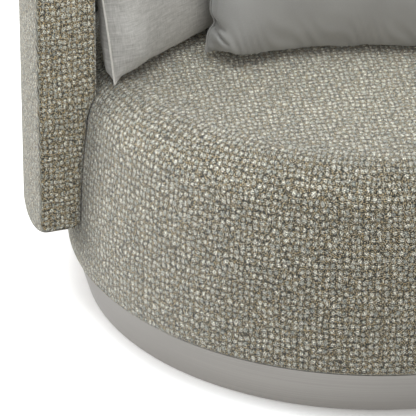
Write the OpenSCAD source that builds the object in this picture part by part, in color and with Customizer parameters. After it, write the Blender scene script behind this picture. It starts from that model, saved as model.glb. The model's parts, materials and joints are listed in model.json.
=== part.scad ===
// Round swivel lounge chair: an upholstered seat drum that turns on a ball
// turntable over a stainless plinth, wrapped by a floating arm-and-back band,
// with a crescent back cushion and three loose pillows.
// +Z is up, the chair faces -Y, and the origin is on the swivel axis at the floor.

/* [Plinth] */
// Height of the steel plinth above the floor
plinth_h = 77; // [64:1:110]
// How far the plinth narrows from its rim down to the floor, per side
plinth_flare = 22; // [8:1:40]
// How far the seat drum overhangs the rim of the plinth
rim_inset = 10; // [4:1:25]
// Thickness of the stainless sheet
skirt_t = 1.5; // [1:0.1:3]
// Width of the turned-in flange at the rim of the sheet
flange_w = 13; // [8:1:20]
// Width of the turned-in flange at the foot of the sheet
foot_w = 8; // [5:1:10]
// Gap between the foot of the sheet and the floor
skirt_lift = 1.5; // [1:0.5:3]
// Running gap between the plinth and the seat drum
swivel_gap = 2.5; // [2:0.5:6]
// Width of the plinth's core ring
core_w = 30; // [26:1:44]
// Thickness of the floor glides
glide_h = 6; // [4:1:8]
// Radius of one floor glide
glide_r = 9; // [7:0.5:10]
// Radius of the hub block under the middle of the plinth board
hub_r = 62; // [50:1:80]

/* [Turntable] */
// Radius of the circle on which the balls run
ball_circle_r = 150; // [120:2:200]
// Diameter of one ball
ball_d = 10; // [8:0.5:12]
// Number of balls
ball_count = 30; // [18:1:36]
// Width of each race ring
race_w = 70; // [60:1:90]
// Thickness of each race ring
race_t = 8; // [7:0.5:10]
// Distance between the faces of the two races
race_gap = 4; // [3:0.5:5]
// Clearance between a ball and its groove
ball_clear = 0.3; // [0.2:0.05:0.4]
// Diameter of the king bolt on the swivel axis
king_d = 16; // [12:1:20]

/* [Boards and cloth] */
// Thickness of the plywood boards and rails
board_t = 18; // [15:0.5:22]
// Thickness of the woven cover
cover_t = 2.5; // [2:0.1:3.5]
// Small clearance between pieces that lie against each other
fit_gap = 0.3; // [0.2:0.05:0.4]

/* [Seat drum] */
// Radius of the drum at its widest
seat_r = 510; // [460:2:560]
// Height of the widest ring above the drum's lower edge
belly_up = 50; // [30:1:70]
// How far the drum's side leans in from the widest ring up to the shoulder
seat_taper = 14; // [6:1:24]
// Radius of the fold where the cover turns under the drum
fold_r = 8; // [6:0.5:12]
// Height of the drum's side up to the shoulder
side_h = 270; // [240:2:310]
// Width of the rolled rim
roll_w = 76; // [60:1:95]
// Height of the rolled rim
roll_h = 82; // [70:1:95]
// Height of the crown above the rolled rim
crown_h = 18; // [10:1:30]
// Thickness of the bent plywood wall
wall_t = 9; // [6:0.5:12]
// Thickness of the padding outside the wall at the shoulder
side_pad = 10; // [7:0.5:15]
// Width of the deck ring that carries the springs
deck_w = 72; // [60:1:90]
// Thickness of the seat foam at the middle
foam_t = 110; // [100:1:120]

/* [Springs] */
// Number of zigzag springs
spring_count = 5; // [3:2:7]
// Distance between neighbouring springs
spring_pitch = 118; // [100:1:125]
// Distance between the rungs of one spring
rung_pitch = 30; // [24:1:36]
// Width of one spring
spring_w = 52; // [40:1:60]
// Diameter of the spring wire
wire_d = 3.6; // [3:0.1:4.2]
// How far a spring bows up at its middle
spring_rise = 8; // [4:1:10]

/* [Arm and back band] */
// Angle from the side of the chair forward to the front faces of the arms
arm_angle = 20; // [12:1:30]
// Gap between the band and the side of the drum
band_gap = 2; // [1.5:0.5:4]
// Thickness of the band below the seat level
band_t = 68; // [60:1:90]
// How far the inner padding of the band comes in over the drum
arm_pad = 30; // [20:1:40]
// Height of the band's lower edge above the floor
band_lift = 168; // [150:1:190]
// Height of the arms at their front faces
arm_h = 660; // [620:2:700]
// Height of the back
back_h = 800; // [740:2:860]
// Radius of the band's upper edges
edge_r = 34; // [24:1:36]
// Radius of the band's lower outer edge
hem_r = 30; // [20:1:36]
// Thickness of the boards that close the arms
end_t = 12; // [9:0.5:18]
// Thickness of the inner and outer panels of the band
panel_t = 4; // [3:0.5:6]
// Thickness of the wadding on the outside of the band
wadding_t = 10; // [8:0.5:14]
// Diameter of the bolts that hold the band to the drum
bolt_d = 8; // [6:0.5:10]

/* [Back cushion] */
// Height of the back cushion above the seat
cushion_h = 285; // [240:5:320]
// Radius of the cushion's hollow front in plan
cushion_front_r = 530; // [480:5:600]
// Room left in front of the cushion for the square pillows to lean
lean_room = 90; // [80:1:110]
// Half angle that the cushion spans
cushion_span = 76; // [60:1:80]

/* [Pillows] */
// Width and height of the square pillows
square_w = 450; // [400:5:500]
// How far a square pillow swells at its front
square_front = 42; // [30:1:48]
// How far a square pillow swells at its back
square_back = 68; // [50:1:72]
// Angle of the square pillows from the chair's cross axis in plan
square_turn = 45.5; // [42:0.5:48]
// How far the square pillows lean back
square_lean = 11; // [8:0.5:13]
// Width of the lumbar pillow
lumbar_w = 548; // [500:4:600]
// Height of the lumbar pillow
lumbar_h = 335; // [300:5:380]
// How far the lumbar pillow swells to each side
lumbar_swell = 60; // [50:1:70]
// How far the lumbar pillow leans back
lumbar_lean = 10; // [6:0.5:13]
// Room between the lumbar pillow's ends and the square pillows' middle planes
lumbar_room = 64; // [62:1:80]
// Thickness of the pillow covers
cloth_t = 1.5; // [1:0.1:2]
// Diameter of the piping
piping_d = 5; // [4:0.5:6]

/* [Hidden] */
$fn = 96;

weave_color = [0.55, 0.54, 0.49];
linen_color = [0.66, 0.65, 0.63];
satin_color = [0.46, 0.46, 0.45];
steel_color = [0.72, 0.71, 0.70];
zinc_color = [0.62, 0.64, 0.66];
ply_color = [0.78, 0.64, 0.45];
foam_color = [0.90, 0.86, 0.72];
felt_color = [0.35, 0.35, 0.36];
plastic_color = [0.12, 0.12, 0.13];

// Heights, from the floor up
drum_z0 = plinth_h + swivel_gap;
base_z0 = drum_z0 + cover_t;
base_z1 = base_z0 + board_t;
table_z0 = base_z0 - 2 * race_t - race_gap;
ball_z = base_z0 - race_t - race_gap / 2;
plinth_board_z0 = table_z0 - board_t;
belly_z = drum_z0 + belly_up;
shoulder_z = drum_z0 + side_h;
crown_z = shoulder_z + roll_h + crown_h;
felt_t = 3;
felt_z0 = crown_z - foam_t - felt_t;
clip_h = 7;
spring_z = felt_z0 - fit_gap - wire_d / 2 - spring_rise;
deck_z1 = spring_z - clip_h / 2;
deck_z0 = deck_z1 - board_t;

// Radii of the plinth and the drum
plinth_rim_r = seat_r - rim_inset;
plinth_foot_r = plinth_rim_r - plinth_flare;
skirt_wall = skirt_t / cos(atan(plinth_flare / plinth_h));
foot_tuck = 3;
rest_gap = 0.5;
shoulder_r = seat_r - seat_taper;
rim_in_r = shoulder_r - roll_w;
wall_r1 = shoulder_r - cover_t - side_pad;
wall_r0 = wall_r1 - wall_t;
deck_r0 = wall_r0 - deck_w;
turn_under = 34;
king_r = king_d / 2;
run_clear = 0.1;
screw_r = 2.4;
screw_head_r = 4.8;
screw_count = 6;

function skirt_in(z) =
    plinth_foot_r + plinth_flare * z / plinth_h - skirt_wall;

// Radius of the drum's side at height z, up to the shoulder
function side_r(z) = z < belly_z
    ? seat_r - foot_tuck * pow((belly_z - z) / belly_up, 2)
    : seat_r - seat_taper * pow((z - belly_z) / (shoulder_z - belly_z), 2);

// Radius of the drum at any height, with the rolled rim
function drum_r(z) = z <= shoulder_z
    ? side_r(z)
    : rim_in_r + roll_w * sqrt(max(0, 1 - pow((z - shoulder_z) / roll_h, 2)));

// Height of the seat's top at radius r
function seat_z(r) = r < rim_in_r
    ? crown_z - crown_h * pow(r / rim_in_r, 2)
    : shoulder_z + roll_h * sqrt(max(0, 1 - pow((r - rim_in_r) / roll_w, 2)));

side_steps = 8;
roll_steps = 8;
crown_steps = 5;
side_zs = [for (i = [0:side_steps])
    drum_z0 + fold_r + (side_h - fold_r) * i / side_steps];
roll_zs = [for (i = [1:roll_steps - 1]) shoulder_z + roll_h * sin(90 * i / roll_steps)];

// Outline of the drum from the swivel axis round to its top, moved in by inset
function drum_outline(inset) = concat(
    [[0, drum_z0 + inset]],
    [for (i = [0:3]) let (a = -90 + 30 * i)
        [side_r(drum_z0 + fold_r) - fold_r + (fold_r - inset) * cos(a),
         drum_z0 + fold_r + (fold_r - inset) * sin(a)]],
    [for (i = [1:side_steps]) [side_r(side_zs[i]) - inset, side_zs[i]]],
    [for (i = [1:roll_steps - 1]) let (a = 90 * i / roll_steps)
        [rim_in_r + (roll_w - inset) * cos(a), shoulder_z + (roll_h - inset) * sin(a)]],
    [for (i = [crown_steps:-1:0]) let (r = rim_in_r * i / crown_steps)
        [r, seat_z(r) - inset]]);

// The band: its radii, its sloping top and where its frame starts and ends
band_r0 = seat_r + band_gap;
band_r1 = band_r0 + band_t;
band_mid_r = band_r0 + band_t / 3;
bore_r = seat_r - arm_pad;
arm_front_y = band_r1 * sin(arm_angle);
slope = (back_h - arm_h) / (band_r1 + arm_front_y);
slope_a = atan(slope);
top_z0 = arm_h + slope * arm_front_y;
cover_foot_z = band_lift + 102;
hem_turn = 8;
panel_r0 = band_r0;
panel_r1 = panel_r0 + panel_t;
outer_r1 = band_r1 - cover_t - fit_gap - wadding_t - fit_gap;
outer_r0 = outer_r1 - panel_t;
post_w = 44;
post_count = 9;
top_rail_drop = 26;
end_clear = 2;
end_a = arm_angle - asin((end_t + 2 * end_clear) / bore_r);
bolt_z = band_lift + 56;
band_steps = 26;
band_sweep = 180 + 2 * arm_angle;
facet_spread = 1 / cos(band_sweep / band_steps / 2);

function top_z(x, y) = top_z0 + slope * y;
function band_in(z) = z > shoulder_z + roll_h
    ? bore_r
    : max(bore_r, drum_r(z) + band_gap);
function post_angle(k) =
    (4.5 - arm_angle) + k * (band_sweep - 9) / (post_count - 1);

inner_zs = concat(
    [for (z = side_zs) if (z > cover_foot_z) z],
    [for (z = roll_zs) if (drum_r(z) + band_gap > bore_r) z],
    [shoulder_z + roll_h]);
edge_steps = 3;

// Section of the band at azimuth th, from low inside, over the top, to the hem
function band_path(th, inset, foot_z) = concat(
    [[band_in(foot_z) + inset, foot_z]],
    [for (z = inner_zs) [band_in(z) + inset, z]],
    [for (i = [0:edge_steps]) let (
            a = 180 - 90 * i / edge_steps,
            r = bore_r + edge_r + (edge_r - inset) * cos(a))
        [r, top_z(0, r * sin(th)) - edge_r + (edge_r - inset) * sin(a)]],
    [for (i = [0:edge_steps]) let (
            a = 90 - 90 * i / edge_steps,
            r = band_r1 - edge_r + (edge_r - inset) * cos(a))
        [r, top_z(0, r * sin(th)) - edge_r + (edge_r - inset) * sin(a)]],
    [for (i = [0:edge_steps]) let (a = -90 * i / edge_steps)
        [band_r1 - hem_r + (hem_r - inset) * cos(a),
         band_lift + hem_r + (hem_r - inset) * sin(a)]],
    [[band_r1 - hem_r - hem_turn, band_lift + inset]]);

function reversed(list) = [for (i = [len(list) - 1:-1:0]) list[i]];

// Closed solid through a row of rings that run counterclockwise about its course
module loft(rings) {
    n = len(rings);
    m = len(rings[0]);
    sides = [for (i = [0:n - 2], j = [0:m - 1])
        let (a = i * m + j, b = i * m + (j + 1) % m)
        each [[a, b + m, b], [a, a + m, b + m]]];
    near_cap = [for (j = [0:m / 2 - 2])
        each [[j, m - 2 - j, m - 1 - j], [j, j + 1, m - 2 - j]]];
    far_cap = [for (f = near_cap) [for (v = reversed(f)) v + (n - 1) * m]];
    polyhedron([for (ring = rings) each ring], concat(sides, near_cap, far_cap));
}

// Round tube along a path, open or closed, with sides taken from up vectors
function tube_ring(p, along, up, r, sides) = let (
        t = along / norm(along),
        side = cross(up, t) / norm(cross(up, t)),
        top = cross(t, side))
    [for (j = [0:sides - 1]) let (a = 360 * (j + 0.5) / sides)
        p + r * (cos(a) * side + sin(a) * top)];

module open_tube(path, r, sides) {
    last = len(path) - 1;
    loft([for (i = [0:last])
        tube_ring(path[i], path[min(i + 1, last)] - path[max(i - 1, 0)],
            [0, 0, 1], r, sides)]);
}

module closed_tube(path, r, sides) {
    n = len(path);
    rings = [for (i = [0:n - 1])
        tube_ring(path[i], path[(i + 1) % n] - path[(i + n - 1) % n],
            [0, 1, 0], r, sides)];
    faces = [for (i = [0:n - 1], j = [0:sides - 1]) let (
            a = i * sides + j,
            b = i * sides + (j + 1) % sides,
            c = ((i + 1) % n) * sides + (j + 1) % sides,
            d = ((i + 1) % n) * sides + j)
        each [[a, c, b], [a, d, c]]];
    polyhedron([for (ring = rings) each ring], faces);
}

module ring(r0, r1, z0, z1) {
    rotate_extrude() translate([r0, z0]) square([r1 - r0, z1 - z0]);
}

module arc_ring(r0, r1, z0, z1, from_a, to_a) {
    rotate([0, 0, from_a])
        rotate_extrude(angle = to_a - from_a)
            translate([r0, z0]) square([r1 - r0, z1 - z0]);
}

// Keeps what lies under the band's sloping top by a depth, in a slab of some thickness
module under_top(depth, thick = back_h) {
    reach = 2 * band_r1;
    intersection() {
        children();
        translate([0, 0, top_z0])
            rotate([slope_a, 0, 0])
                translate([-reach, -reach, -thick - depth])
                    cube([2 * reach, 2 * reach, thick]);
    }
}

module round_row(count, r, first_a = 0) {
    for (i = [0:count - 1])
        rotate([0, 0, first_a + i * 360 / count]) translate([r, 0, 0]) children();
}

// Countersunk screw along +Z: head at the origin, shank reaching up
module screw(length, clear = 0) {
    cylinder(r1 = screw_head_r + clear, r2 = screw_r + clear,
        h = screw_head_r - screw_r);
    cylinder(r = screw_r + clear, h = length + clear);
}

lower_screw_r = ball_circle_r + race_w / 2 - 10;
upper_screw_r = ball_circle_r - race_w / 2 + 10;
lower_screw_l = race_t + board_t * 0.7;

module lower_screws(clear = 0) {
    round_row(screw_count, lower_screw_r, 30)
        translate([0, 0, table_z0 + race_t]) mirror([0, 0, 1]) screw(lower_screw_l, clear);
}

module upper_screws(clear = 0) {
    round_row(screw_count, upper_screw_r)
        translate([0, 0, base_z0 - race_t]) screw(lower_screw_l, clear);
}

// Plinth

glide_count = 8;
glide_circle_r = skirt_in(skirt_lift) - foot_w - glide_r;

module floor_glides() {
    color(felt_color) {
        round_row(glide_count, glide_circle_r, 22.5) cylinder(r = glide_r, h = glide_h);
        cylinder(r = hub_r * 0.6, h = glide_h);
    }
}

module plinth_skirt() {
    foot_r = plinth_foot_r + plinth_flare * skirt_lift / plinth_h;
    color(steel_color) rotate_extrude() polygon([
        [foot_r, skirt_lift],
        [plinth_rim_r, plinth_h],
        [plinth_rim_r - flange_w, plinth_h],
        [plinth_rim_r - flange_w, plinth_h - skirt_t],
        [skirt_in(plinth_h - skirt_t), plinth_h - skirt_t],
        [skirt_in(skirt_lift + skirt_t), skirt_lift + skirt_t],
        [foot_r - foot_w, skirt_lift + skirt_t],
        [foot_r - foot_w, skirt_lift]]);
}

module plinth_core() {
    core_r0 = skirt_in(glide_h) - core_w;
    color(ply_color) rotate_extrude() polygon([
        [core_r0, glide_h],
        [skirt_in(glide_h) - fit_gap, glide_h],
        [skirt_in(plinth_board_z0) - fit_gap, plinth_board_z0],
        [core_r0, plinth_board_z0]]);
}

module plinth_hub() {
    color(ply_color) ring(king_r * 2.2, hub_r, glide_h, plinth_board_z0);
}

module plinth_board() {
    color(ply_color) difference() {
        translate([0, 0, plinth_board_z0])
            cylinder(r = skirt_in(plinth_board_z0) - fit_gap, h = board_t);
        translate([0, 0, plinth_board_z0 - 1])
            cylinder(r = king_r + run_clear, h = board_t + 2);
        lower_screws(run_clear);
    }
}

// Turntable

module race(z0) {
    difference() {
        ring(ball_circle_r - race_w / 2, ball_circle_r + race_w / 2, z0, z0 + race_t);
        rotate_extrude() translate([ball_circle_r, ball_z])
            circle(r = ball_d / 2 + ball_clear, $fn = 48);
        children();
    }
}

module lower_race() {
    color(zinc_color) race(table_z0) lower_screws(run_clear);
}

module upper_race() {
    color(zinc_color) race(base_z0 - race_t) upper_screws(run_clear);
}

module lower_race_screws() {
    color(zinc_color) lower_screws();
}

module upper_race_screws() {
    color(zinc_color) upper_screws();
}

module bearing_balls() {
    color("silver") round_row(ball_count, ball_circle_r)
        translate([0, 0, ball_z]) sphere(d = ball_d, $fn = 32);
}

module bearing_cage() {
    cage_w = ball_d * 2;
    cage_t = race_gap / 2;
    color(plastic_color) difference() {
        ring(ball_circle_r - cage_w / 2, ball_circle_r + cage_w / 2,
            ball_z - cage_t / 2, ball_z + cage_t / 2);
        round_row(ball_count, ball_circle_r)
            translate([0, 0, ball_z - cage_t])
                cylinder(r = ball_d / 2 + run_clear, h = 2 * cage_t, $fn = 32);
    }
}

bush_wall = 4;
bush_flange_t = 2;
washer_t = 2;
head_h = king_d * 0.6;
king_top_z = base_z1 + bush_flange_t + fit_gap + washer_t;

module king_bolt() {
    color(zinc_color) {
        translate([0, 0, king_top_z]) cylinder(r = king_r * 1.7, h = head_h, $fn = 6);
        translate([0, 0, plinth_board_z0 - washer_t - head_h])
            cylinder(r = king_r, h = king_top_z - plinth_board_z0 + washer_t + head_h);
    }
}

module king_washers() {
    color(zinc_color) {
        ring(king_r + run_clear, king_r * 2, king_top_z - washer_t, king_top_z);
        ring(king_r + run_clear, king_r * 2,
            plinth_board_z0 - washer_t, plinth_board_z0);
    }
}

module king_nut() {
    nut_h = head_h * 0.8;
    color(zinc_color) difference() {
        translate([0, 0, plinth_board_z0 - washer_t - nut_h])
            cylinder(r = king_r * 1.7, h = nut_h, $fn = 6);
        translate([0, 0, plinth_board_z0 - washer_t - nut_h - 1])
            cylinder(r = king_r + run_clear / 2, h = nut_h + 2);
    }
}

module king_bush() {
    color(plastic_color) {
        ring(king_r + run_clear, king_r + bush_wall, base_z0, base_z1);
        ring(king_r + run_clear, king_r + 2 * bush_wall, base_z1,
            base_z1 + bush_flange_t);
    }
}

// Seat drum

module seat_base_board() {
    color(ply_color) difference() {
        translate([0, 0, base_z0]) cylinder(r = wall_r0 - fit_gap, h = board_t);
        translate([0, 0, base_z0 - 1])
            cylinder(r = king_r + bush_wall + run_clear, h = board_t + 2);
        upper_screws(run_clear);
    }
}

module bolt_row(r0, r1, r) {
    for (k = [0:post_count - 1])
        rotate([0, 0, post_angle(k)])
            translate([r0, 0, bolt_z]) rotate([0, 90, 0]) cylinder(r = r, h = r1 - r0);
}

bolt_hole_r = bolt_d / 2 + fit_gap;

module drum_wall() {
    color(ply_color) difference() {
        ring(wall_r0, wall_r1, base_z0, deck_z1);
        bolt_row(wall_r0 - 5, wall_r1 + 5, bolt_hole_r);
    }
}

front_post_angles = [225, 270, 315];
rear_post_angles = [for (k = [0, 2, 5, 7]) post_angle(k + 0.5)];

module deck_posts() {
    post_r1 = wall_r0 - 4;
    color(ply_color) for (a = concat(front_post_angles, rear_post_angles))
        rotate([0, 0, a]) translate([post_r1 - 34, -24, base_z1])
            cube([34, 48, deck_z0 - base_z1]);
}

module deck_ring() {
    color(ply_color) ring(deck_r0, wall_r0 - fit_gap, deck_z0, deck_z1);
}

roll_r0 = deck_r0 + 26;

module edge_roll() {
    color(foam_color) ring(roll_r0, wall_r1, deck_z1 + fit_gap, felt_z0);
}

spring_reach_r = deck_r0 + 8;
spring_xs = [for (i = [0:spring_count - 1]) (i - (spring_count - 1) / 2) * spring_pitch];

function spring_half(x) = sqrt(pow(spring_reach_r, 2) - pow(x, 2));

// Zigzag wire: straight rungs joined by rounded bends, bowed up at the middle
function spring_path(x) = let (
        half = spring_half(x),
        rungs = 2 * floor(half / rung_pitch) + 1,
        step = 2 * half / (rungs - 1),
        reach = spring_w / 2 - step / 4)
    [for (k = [0:rungs - 1], i = [0:2])
        if (k < rungs - 1 || i < 2) let (
            way = k % 2 == 0 ? 1 : -1,
            across = [-reach, reach, spring_w / 2][i] * way,
            y = -half + (k + [0, 0, 0.5][i]) * step)
        [x + across, y, spring_z + spring_rise * (1 - pow(y / half, 2))]];

// Least distance between parts of one spring that are at least four points apart
function least_gap(path, r) = min([for (i = [0:len(path) - 6], j = [i + 5:len(path) - 1])
    norm(path[i] - path[j])]) - 2 * r;
echo(spring_least_gap = least_gap(spring_path(0), wire_d / 2));

module zigzag_springs() {
    color(zinc_color) for (x = spring_xs) open_tube(spring_path(x), wire_d / 2, 6);
}

module spring_clips() {
    clip_w = spring_w * 0.5;
    slot_h = wire_d + 2 * fit_gap;
    color(zinc_color) for (x = spring_xs, side = [-1, 1])
        translate([x, side * spring_half(x), 0]) difference() {
            translate([-clip_w / 2, -7, deck_z1]) cube([clip_w, 14, clip_h]);
            translate([-clip_w, side > 0 ? -20 : -slot_h, spring_z - slot_h / 2])
                cube([2 * clip_w, 20 + slot_h, slot_h]);
        }
}

module spring_felt() {
    color(felt_color) translate([0, 0, felt_z0]) cylinder(r = wall_r1, h = felt_t);
}

foam_inset = cover_t + fit_gap;
foam_z0 = felt_z0 + felt_t;

module seat_foam() {
    color(foam_color) rotate_extrude() intersection() {
        polygon(drum_outline(foam_inset));
        translate([0, foam_z0]) square([seat_r, crown_z]);
    }
}

module side_foam() {
    color(foam_color) difference() {
        rotate_extrude() intersection() {
            polygon(drum_outline(foam_inset));
            translate([wall_r1 + fit_gap, 0])
                square([seat_r, foam_z0 - fit_gap]);
        }
        bolt_row(wall_r1 - 5, seat_r + 5, bolt_hole_r);
    }
}

module seat_cover() {
    color(weave_color) difference() {
        rotate_extrude() difference() {
            polygon(drum_outline(0));
            polygon(drum_outline(cover_t));
            square([seat_r - turn_under, base_z0 + 1]);
        }
        bolt_row(wall_r1, seat_r + 5, bolt_hole_r);
    }
}

// Arm and back band

rail_z0 = band_lift + cover_t + fit_gap;
rail_r1 = band_r1 - hem_r - 2;

module band_arc(r0, r1, z0, z1) {
    arc_ring(r0, r1, z0, z1, -end_a, 180 + end_a);
}

module band_bottom_rail() {
    color(ply_color) band_arc(panel_r1 + fit_gap, rail_r1, rail_z0, rail_z0 + board_t);
}

module band_posts() {
    color(ply_color) difference() {
        under_top(top_rail_drop + board_t)
            for (k = [0:post_count - 1]) rotate([0, 0, post_angle(k)])
                translate([panel_r1 + 2, -post_w / 2, rail_z0 + board_t])
                    cube([outer_r0 - panel_r1 - 4, post_w, back_h]);
        bolt_row(panel_r0, outer_r0 - 12, bolt_hole_r);
    }
}

module band_top_rail() {
    color(ply_color) under_top(top_rail_drop, board_t)
        band_arc(panel_r1 + fit_gap, outer_r0 - fit_gap, arm_h / 2, back_h);
}

module band_inner_panel() {
    color(ply_color) difference() {
        under_top(top_rail_drop) band_arc(panel_r0, panel_r1, rail_z0, back_h);
        bolt_row(panel_r0 - 5, panel_r1 + 5, bolt_hole_r);
    }
}

module band_outer_panel() {
    color(ply_color) under_top(top_rail_drop)
        band_arc(outer_r0, outer_r1, band_lift + hem_r, back_h);
}

module band_inner_foam() {
    spread = facet_spread * foam_inset;
    color(foam_color) under_top(edge_r) rotate([0, 0, -end_a])
        rotate_extrude(angle = 180 + 2 * end_a) polygon(concat(
            [[panel_r0 - fit_gap, cover_foot_z + fit_gap]],
            [[panel_r0 - fit_gap, back_h], [bore_r + spread + 1.2, back_h]],
            reversed([for (z = inner_zs) [min(band_in(z) + spread + 1.2,
                panel_r0 - 2 * fit_gap), z]])));
}

module band_top_foam() {
    color(foam_color) under_top(cover_t + 1, top_rail_drop - cover_t - 1)
        band_arc(bore_r + edge_r, band_r1 - edge_r, arm_h / 2, back_h + edge_r);
}

module band_outer_wadding() {
    color(foam_color) under_top(edge_r)
        band_arc(outer_r1 + fit_gap, outer_r1 + wadding_t - 1.5, band_lift + hem_r, back_h);
}

module arm_plate(thick, inset, from_y) {
    for (side = [0, 1]) mirror([side, 0, 0])
        rotate([0, 0, -arm_angle]) translate([0, from_y + thick, 0])
            rotate([90, 0, 0]) linear_extrude(thick)
                polygon(concat([[band_in(band_lift) + inset, band_lift + inset]],
                    band_path(-arm_angle, inset, band_lift + fold_r)));
}

module arm_end_boards() {
    color(ply_color) arm_plate(end_t, cover_t + end_clear, end_clear);
}

module arm_front_covers() {
    color(weave_color) arm_plate(cover_t, 0, -cover_t);
}

function spread_ring(th, path) = [for (p = path)
    let (r = p[0] < band_mid_r ? p[0] * facet_spread : p[0])
    [r * cos(th), r * sin(th), p[1]]];

module band_cover() {
    color(weave_color) loft([for (k = [0:band_steps])
        let (th = -arm_angle + band_sweep * k / band_steps)
        spread_ring(th, concat(
            band_path(th, 0, cover_foot_z),
            reversed(band_path(th, cover_t, cover_foot_z))))]);
}

module band_bolts() {
    head_t = 5;
    color(zinc_color) {
        bolt_row(wall_r0 - head_t, outer_r0 - 14, bolt_d / 2);
        bolt_row(wall_r0 - head_t, wall_r0 - fit_gap, bolt_d);
    }
}

// Back cushion

square_corner_r = bore_r - 24;
square_corner_a = 22.3;
square_x = -square_corner_r * cos(square_corner_a);
square_y = -square_corner_r * sin(square_corner_a);
cushion_front_y = square_y + square_w * sin(square_turn) + lean_room;
cushion_front_c = cushion_front_y - cushion_front_r;
cushion_r1 = bore_r - rest_gap;
cushion_steps = 20;
cushion_points = 8;
box_a = 90 / cushion_points;

function cushion_r0(a) = cushion_front_c * cos(a)
    + sqrt(pow(cushion_front_r, 2) - pow(cushion_front_c * sin(a), 2));

// Upright section of the cushion at angle a from the back, as a soft box
function cushion_ring(a, inset) = let (
        taper = sqrt(1 - 0.85 * pow(abs(a) / cushion_span, 8)),
        r0 = cushion_r0(a) + inset,
        r1 = cushion_r1 - inset,
        mid = (r0 + r1) / 2,
        half = (r1 - r0) / 2 * taper,
        flat_r = mid - (half + inset) * sqrt(sin(box_a) / cos(box_a)),
        z0 = seat_z(flat_r - 2) + rest_gap + inset,
        z1 = z0 + (cushion_h - 2 * inset) * (0.8 + 0.2 * taper))
    [for (j = [0:2 * cushion_points - 1]) let (
            q = -90 + box_a * (2 * j + 1),
            out = cos(q) < 0 ? 1 : -1,
            r = mid + half * out * sqrt(abs(cos(q)) / cos(box_a)),
            up = sign(sin(q)) * sqrt(abs(sin(q)) / cos(box_a)))
        [-r * sin(a), r * cos(a), z0 + (z1 - z0) * (up + 1) / 2]];

module cushion(inset) {
    span = cushion_span * (1 - inset / 400);
    loft([for (k = [0:cushion_steps])
        cushion_ring(-span * cos(180 * k / cushion_steps), inset)]);
}

module back_cushion_core() {
    color(foam_color) cushion(cover_t + 2);
}

module back_cushion_cover() {
    color(weave_color) difference() {
        cushion(0);
        cushion(cover_t);
    }
}

// Pillows

pillow_steps = 9;
seam_t = 1.2;
side_draw = 12;

// Point of a pillow at s across and t up, both -1 to 1, with its swell to one side.
// A size holds the width, the height and the rise at the middle of the lower edge.
function pillow_point(size, s, t, swell) = let (
        fall = t > 0 ? side_draw : size[2])
    [s * (size[0] / 2 - side_draw * (1 - t * t) * s * s),
     swell == 0 ? 0 : sign(swell) * (seam_t / 2
        + abs(swell) * sqrt((1 - pow(s, 4)) * (1 - pow(t, 4)))),
     size[1] / 2 + t * (size[1] / 2 - fall * (1 - s * s) * t * t)];

function eased(k, steps) = sin(90 * (2 * k / steps - 1));

// Pillow standing on its lower edge in the XZ plane, its front towards -Y
module pillow(size, front, back, inset = 0) {
    edge = inset * 3;
    inner = [size[0] - 2 * edge, size[1] - 2 * edge, size[2]];
    translate([0, 0, edge]) loft([for (k = [0:pillow_steps])
        let (t = eased(k, pillow_steps))
        concat(
            [for (i = [0:pillow_steps])
                pillow_point(inner, eased(i, pillow_steps), t, inset - front)],
            [for (i = [pillow_steps:-1:0])
                pillow_point(inner, eased(i, pillow_steps), t, back - inset)])]);
}

module pillow_cover(size, front, back) {
    difference() {
        pillow(size, front, back);
        pillow(size, front, back, cloth_t);
    }
}

module pillow_piping(size) {
    out = piping_d / 2 + fit_gap;
    big = [size[0] + 2 * out, size[1] + 2 * out, size[2]];
    steps = 9;
    rise = [for (k = [0:steps - 1]) eased(k, steps)];
    path = concat(
        [for (q = rise) pillow_point(big, q, -1, 0)],
        [for (q = rise) pillow_point(big, 1, q, 0)],
        [for (q = rise) pillow_point(big, -q, 1, 0)],
        [for (q = rise) pillow_point(big, -1, -q, 0)]);
    translate([0, 0, -out]) closed_tube(path, piping_d / 2, 5);
}

square = [square_w, square_w, 0];
square_tilt = 3.2;
edge_lift = piping_d + fit_gap;

function square_foot(s) = norm([square_x + s * cos(square_turn),
    square_y + s * sin(square_turn)]);
square_z = rest_gap + edge_lift + max([for (i = [0:20]) let (s = square_w * i / 20)
    seat_z(square_foot(s)) - s * tan(square_tilt)]);

// Puts a pillow on the seat, turned towards the middle and leaning on the arm
module square_place(side) {
    mirror([side, 0, 0]) translate([square_x, square_y, square_z])
        rotate([0, 0, square_turn]) rotate([-square_lean, 0, 0])
            rotate([0, -square_tilt, 0]) translate([square_w / 2, 0, 0]) children();
}

lumbar_rise = seat_z(100) - seat_z(lumbar_w / 2) + 1;
lumbar = [lumbar_w, lumbar_h, lumbar_rise];
lumbar_y = square_y + (-lumbar_w / 2 - square_x) * tan(square_turn) - lumbar_room;
lumbar_z = rest_gap + edge_lift + seat_z(abs(lumbar_y)) - lumbar_rise * cos(lumbar_lean);

module lumbar_place() {
    translate([0, lumbar_y, lumbar_z]) rotate([-lumbar_lean, 0, 0]) children();
}

insert_inset = cloth_t + fit_gap;

module left_pillow_insert() {
    color("white") square_place(0) pillow(square, square_front, square_back, insert_inset);
}

module left_pillow_cover() {
    color(linen_color) square_place(0) pillow_cover(square, square_front, square_back);
}

module left_pillow_piping() {
    color(linen_color) square_place(0) pillow_piping(square);
}

module right_pillow_insert() {
    color("white") square_place(1) pillow(square, square_front, square_back, insert_inset);
}

module right_pillow_cover() {
    color(linen_color) square_place(1) pillow_cover(square, square_front, square_back);
}

module right_pillow_piping() {
    color(linen_color) square_place(1) pillow_piping(square);
}

module lumbar_pillow_insert() {
    color("white") lumbar_place() pillow(lumbar, lumbar_swell, lumbar_swell, insert_inset);
}

module lumbar_pillow_cover() {
    color(satin_color) lumbar_place() pillow_cover(lumbar, lumbar_swell, lumbar_swell);
}

module lumbar_pillow_piping() {
    color(satin_color) lumbar_place() pillow_piping(lumbar);
}

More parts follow.
